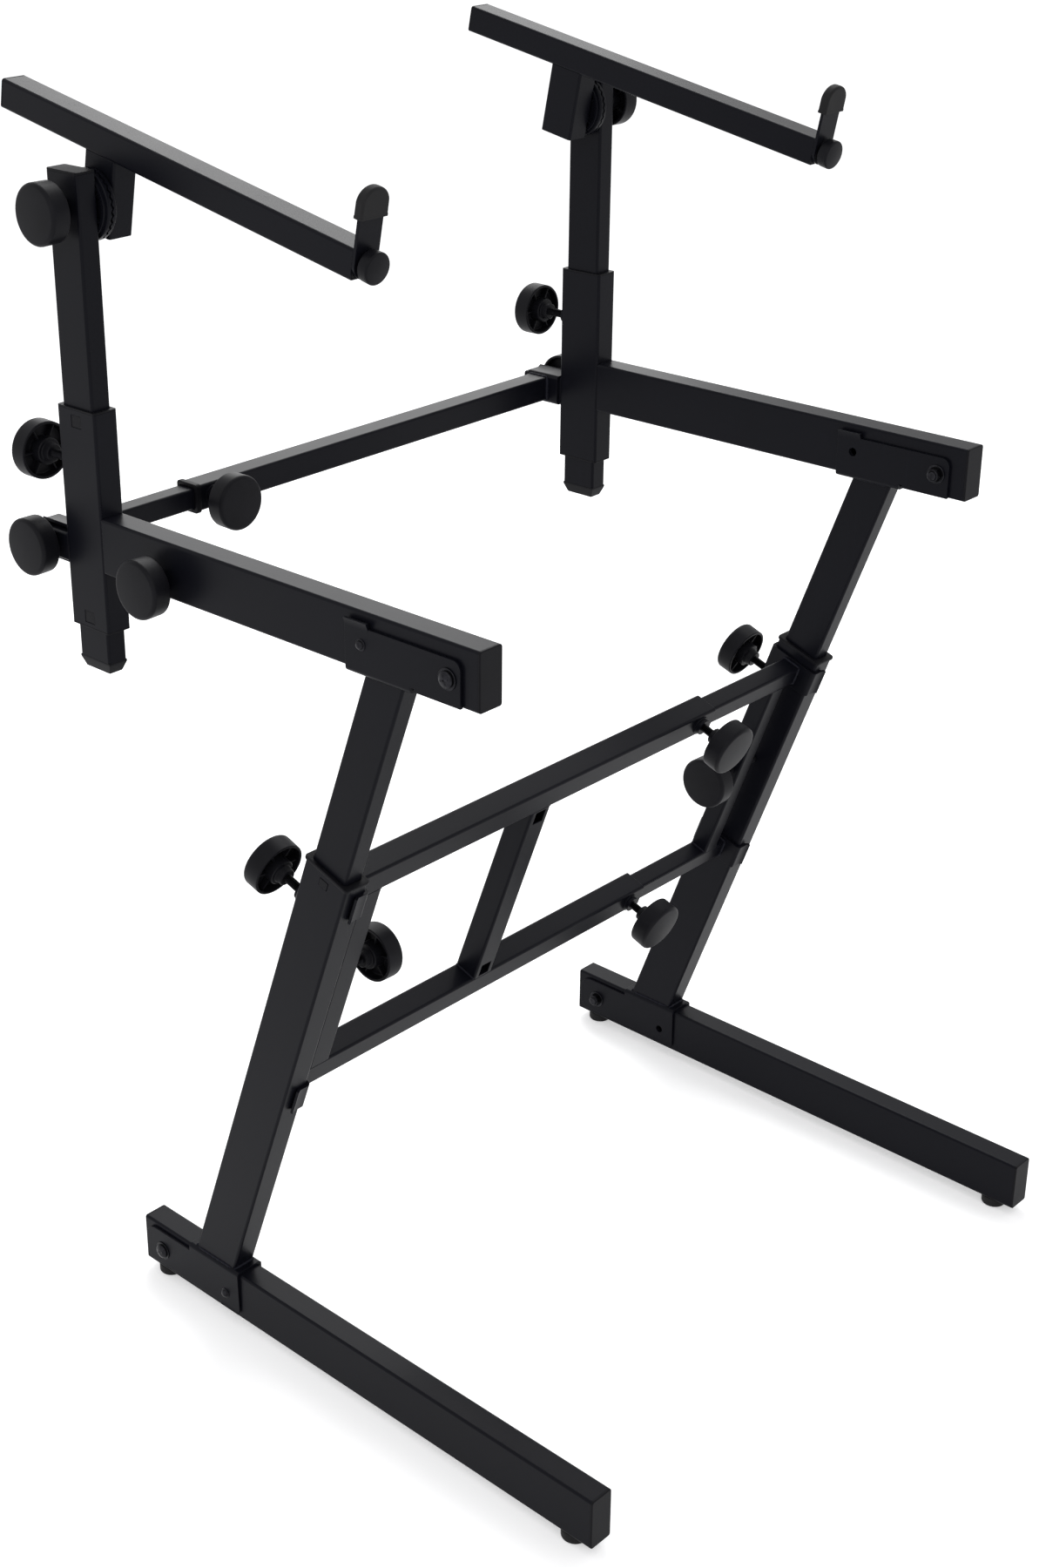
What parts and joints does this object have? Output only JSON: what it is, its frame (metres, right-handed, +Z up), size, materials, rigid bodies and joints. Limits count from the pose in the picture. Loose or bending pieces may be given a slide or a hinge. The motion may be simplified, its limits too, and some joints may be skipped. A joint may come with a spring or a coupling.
{
  "type": "z keyboard stand",
  "caption": "Two-tier Z-shaped keyboard stand with folding feet and arms, sliding width and height and tilting upper arms.",
  "frame": {"origin": "on the floor, below the centre of the stand's outline seen from above", "axes": "+Z up, the player stands on the -Y side facing +Y, +X is the player's right"},
  "size_m": [0.738, 0.7122, 1.1266],
  "materials": {
    "coated_steel": "black satin powder coat",
    "plastic": "black moulded plastic, fine texture",
    "knob_plastic": "black moulded plastic, satin face",
    "rubber": "black rubber",
    "screw_steel": "dark zinc-plated steel"
  },
  "bodies": {
    "left_frame": {"left_lower_leg": "coated_steel", "left_foot_pins": "screw_steel", "left_leg_collar": "plastic", "cross_outer": "coated_steel"},
    "left_base": {"left_base_tube": "coated_steel", "left_base_caps": "plastic", "left_base_feet": "rubber"},
    "left_upper": {"left_upper_leg": "coated_steel", "left_arm_pins": "screw_steel"},
    "left_arm": {"left_arm_tube": "coated_steel", "left_arm_cap": "plastic"},
    "left_column": {"left_sleeve": "coated_steel", "left_sleeve_bushings": "plastic", "rear_bar_inner": "coated_steel"},
    "left_mast": {"left_post": "coated_steel", "left_post_plugs": "plastic"},
    "left_tier": {"left_tier_arm": "coated_steel", "left_tilt_plate": "coated_steel", "left_tier_plugs": "plastic"},
    "left_lip": {"left_lip_strip": "coated_steel", "left_lip_boot": "rubber"},
    "left_leg_knob": {"left_leg_knob": "knob_plastic"},
    "left_frame_knob": {"left_frame_knob": "knob_plastic"},
    "left_arm_knob": {"left_arm_knob": "knob_plastic"},
    "left_rear_knob": {"left_rear_knob": "knob_plastic"},
    "left_post_knob": {"left_post_knob": "knob_plastic"},
    "left_tilt_knob": {"left_tilt_knob": "knob_plastic"},
    "left_lip_knob": {"left_lip_knob": "knob_plastic"},
    "right_frame": {"right_lower_leg": "coated_steel", "right_foot_pins": "screw_steel", "right_leg_collar": "plastic", "cross_inner": "coated_steel"},
    "right_base": {"right_base_tube": "coated_steel", "right_base_caps": "plastic", "right_base_feet": "rubber"},
    "right_upper": {"right_upper_leg": "coated_steel", "right_arm_pins": "screw_steel"},
    "right_arm": {"right_arm_tube": "coated_steel", "right_arm_cap": "plastic"},
    "right_column": {"right_sleeve": "coated_steel", "right_sleeve_bushings": "plastic", "rear_bar_outer": "coated_steel"},
    "right_mast": {"right_post": "coated_steel", "right_post_plugs": "plastic"},
    "right_tier": {"right_tier_arm": "coated_steel", "right_tilt_plate": "coated_steel", "right_tier_plugs": "plastic"},
    "right_lip": {"right_lip_strip": "coated_steel", "right_lip_boot": "rubber"},
    "right_leg_knob": {"right_leg_knob": "knob_plastic"},
    "right_frame_knob": {"right_frame_knob": "knob_plastic"},
    "right_arm_knob": {"right_arm_knob": "knob_plastic"},
    "right_rear_knob": {"right_rear_knob": "knob_plastic"},
    "right_post_knob": {"right_post_knob": "knob_plastic"},
    "right_tilt_knob": {"right_tilt_knob": "knob_plastic"},
    "right_lip_knob": {"right_lip_knob": "knob_plastic"},
    "upper_width_knob": {"upper_width_knob": "knob_plastic"},
    "lower_width_knob": {"lower_width_knob": "knob_plastic"},
    "rear_bar_knob": {"rear_bar_knob": "knob_plastic"}
  },
  "joints": [
    {"name": "width_slide", "type": "slide", "parent": "left_frame", "child": "right_frame", "axis": [1, 0, 0], "range_m": [-0.095, 0.15]},
    {"name": "left_base_fold", "type": "hinge", "parent": "left_frame", "child": "left_base", "pos_m": [-0.327, 0.18488, 0.034], "axis": [1, 0, 0], "range_deg": [0, 280]},
    {"name": "left_leg_height", "type": "slide", "parent": "left_frame", "child": "left_upper", "axis": [0, -0.3371, 0.9415], "range_m": [-0.185, 0.12]},
    {"name": "left_arm_fold", "type": "hinge", "parent": "left_upper", "child": "left_arm", "pos_m": [-0.327, -0.19906, 0.75], "axis": [1, 0, 0], "range_deg": [0, 215]},
    {"name": "left_tier_pull", "type": "slide", "parent": "left_arm", "child": "left_column", "axis": [0, 1, 0], "range_m": [0, 0.05]},
    {"name": "left_post_height", "type": "slide", "parent": "left_column", "child": "left_mast", "axis": [0, 0, 1], "range_m": [-0.135, 0.1]},
    {"name": "left_tilt", "type": "hinge", "parent": "left_mast", "child": "left_tier", "pos_m": [-0.327, 0.23394, 1.038], "axis": [1, 0, 0], "range_deg": [-30, 75]},
    {"name": "left_lip_turn", "type": "hinge", "parent": "left_tier", "child": "left_lip", "pos_m": [-0.29, -0.06517, 1.03138], "axis": [0, 0.981, 0.1942], "range_deg": [-90, 90]},
    {"name": "right_base_fold", "type": "hinge", "parent": "right_frame", "child": "right_base", "pos_m": [0.327, 0.18488, 0.034], "axis": [1, 0, 0], "range_deg": [0, 280]},
    {"name": "right_leg_height", "type": "slide", "parent": "right_frame", "child": "right_upper", "axis": [0, -0.3371, 0.9415], "range_m": [-0.185, 0.12]},
    {"name": "right_arm_fold", "type": "hinge", "parent": "right_upper", "child": "right_arm", "pos_m": [0.327, -0.19906, 0.75], "axis": [1, 0, 0], "range_deg": [0, 215]},
    {"name": "right_tier_pull", "type": "slide", "parent": "right_arm", "child": "right_column", "axis": [0, 1, 0], "range_m": [0, 0.05]},
    {"name": "right_post_height", "type": "slide", "parent": "right_column", "child": "right_mast", "axis": [0, 0, 1], "range_m": [-0.135, 0.1]},
    {"name": "right_tilt", "type": "hinge", "parent": "right_mast", "child": "right_tier", "pos_m": [0.327, 0.23394, 1.038], "axis": [1, 0, 0], "range_deg": [-30, 75]},
    {"name": "right_lip_turn", "type": "hinge", "parent": "right_tier", "child": "right_lip", "pos_m": [0.29, -0.06517, 1.03138], "axis": [0, 0.981, 0.1942], "range_deg": [-90, 90]},
    {"name": "left_leg_knob_turn", "type": "hinge", "parent": "left_frame", "child": "left_leg_knob", "pos_m": [-0.327, -0.01858, 0.49669], "axis": [0, 0.9415, 0.3371], "range_deg": [0, 540]},
    {"name": "left_frame_knob_turn", "type": "hinge", "parent": "left_frame", "child": "left_frame_knob", "pos_m": [-0.275, -0.01085, 0.40095], "axis": [1, 0, 0], "range_deg": [0, 540]},
    {"name": "left_arm_knob_turn", "type": "hinge", "parent": "left_arm", "child": "left_arm_knob", "pos_m": [-0.3395, 0.13244, 0.7415], "axis": [1, 0, 0], "range_deg": [0, 540]},
    {"name": "left_rear_knob_turn", "type": "hinge", "parent": "left_column", "child": "left_rear_knob", "pos_m": [-0.3395, 0.28644, 0.741], "axis": [1, 0, 0], "range_deg": [0, 540]},
    {"name": "left_post_knob_turn", "type": "hinge", "parent": "left_column", "child": "left_post_knob", "pos_m": [-0.327, 0.25894, 0.819], "axis": [0, 1, 0], "range_deg": [0, 540]},
    {"name": "left_tilt_knob_turn", "type": "hinge", "parent": "left_mast", "child": "left_tilt_knob", "pos_m": [-0.337, 0.23394, 1.038], "axis": [1, 0, 0], "range_deg": [0, 540]},
    {"name": "left_lip_knob_turn", "type": "hinge", "parent": "left_tier", "child": "left_lip_knob", "pos_m": [-0.29, -0.06517, 1.03138], "axis": [0, 0.981, 0.1942], "range_deg": [0, 540]},
    {"name": "right_leg_knob_turn", "type": "hinge", "parent": "right_frame", "child": "right_leg_knob", "pos_m": [0.327, -0.01858, 0.49669], "axis": [0, 0.9415, 0.3371], "range_deg": [0, 540]},
    {"name": "right_frame_knob_turn", "type": "hinge", "parent": "right_frame", "child": "right_frame_knob", "pos_m": [0.275, -0.01085, 0.40095], "axis": [1, 0, 0], "range_deg": [0, 540]},
    {"name": "right_arm_knob_turn", "type": "hinge", "parent": "right_arm", "child": "right_arm_knob", "pos_m": [0.3395, 0.13244, 0.7415], "axis": [1, 0, 0], "range_deg": [0, 540]},
    {"name": "right_rear_knob_turn", "type": "hinge", "parent": "right_column", "child": "right_rear_knob", "pos_m": [0.3395, 0.28644, 0.741], "axis": [1, 0, 0], "range_deg": [0, 540]},
    {"name": "right_post_knob_turn", "type": "hinge", "parent": "right_column", "child": "right_post_knob", "pos_m": [0.327, 0.25894, 0.819], "axis": [0, 1, 0], "range_deg": [0, 540]},
    {"name": "right_tilt_knob_turn", "type": "hinge", "parent": "right_mast", "child": "right_tilt_knob", "pos_m": [0.337, 0.23394, 1.038], "axis": [1, 0, 0], "range_deg": [0, 540]},
    {"name": "right_lip_knob_turn", "type": "hinge", "parent": "right_tier", "child": "right_lip_knob", "pos_m": [0.29, -0.06517, 1.03138], "axis": [0, 0.981, 0.1942], "range_deg": [0, 540]},
    {"name": "upper_width_knob_turn", "type": "hinge", "parent": "left_frame", "child": "upper_width_knob", "pos_m": [0.1535, -0.06232, 0.50759], "axis": [0, -0.9415, -0.3371], "range_deg": [0, 540]},
    {"name": "lower_width_knob_turn", "type": "hinge", "parent": "left_frame", "child": "lower_width_knob", "pos_m": [0.1535, 0.01707, 0.28587], "axis": [0, -0.9415, -0.3371], "range_deg": [0, 540]},
    {"name": "rear_bar_knob_turn", "type": "hinge", "parent": "right_column", "child": "rear_bar_knob", "pos_m": [-0.1565, 0.27394, 0.741], "axis": [0, -1, 0], "range_deg": [0, 540]}
  ],
  "couplings": [
    {"joint": "right_leg_height", "follows": "left_leg_height", "ratio": 1},
    {"joint": "right_arm_fold", "follows": "left_arm_fold", "ratio": 1},
    {"joint": "right_tier_pull", "follows": "left_tier_pull", "ratio": 1}
  ]
}
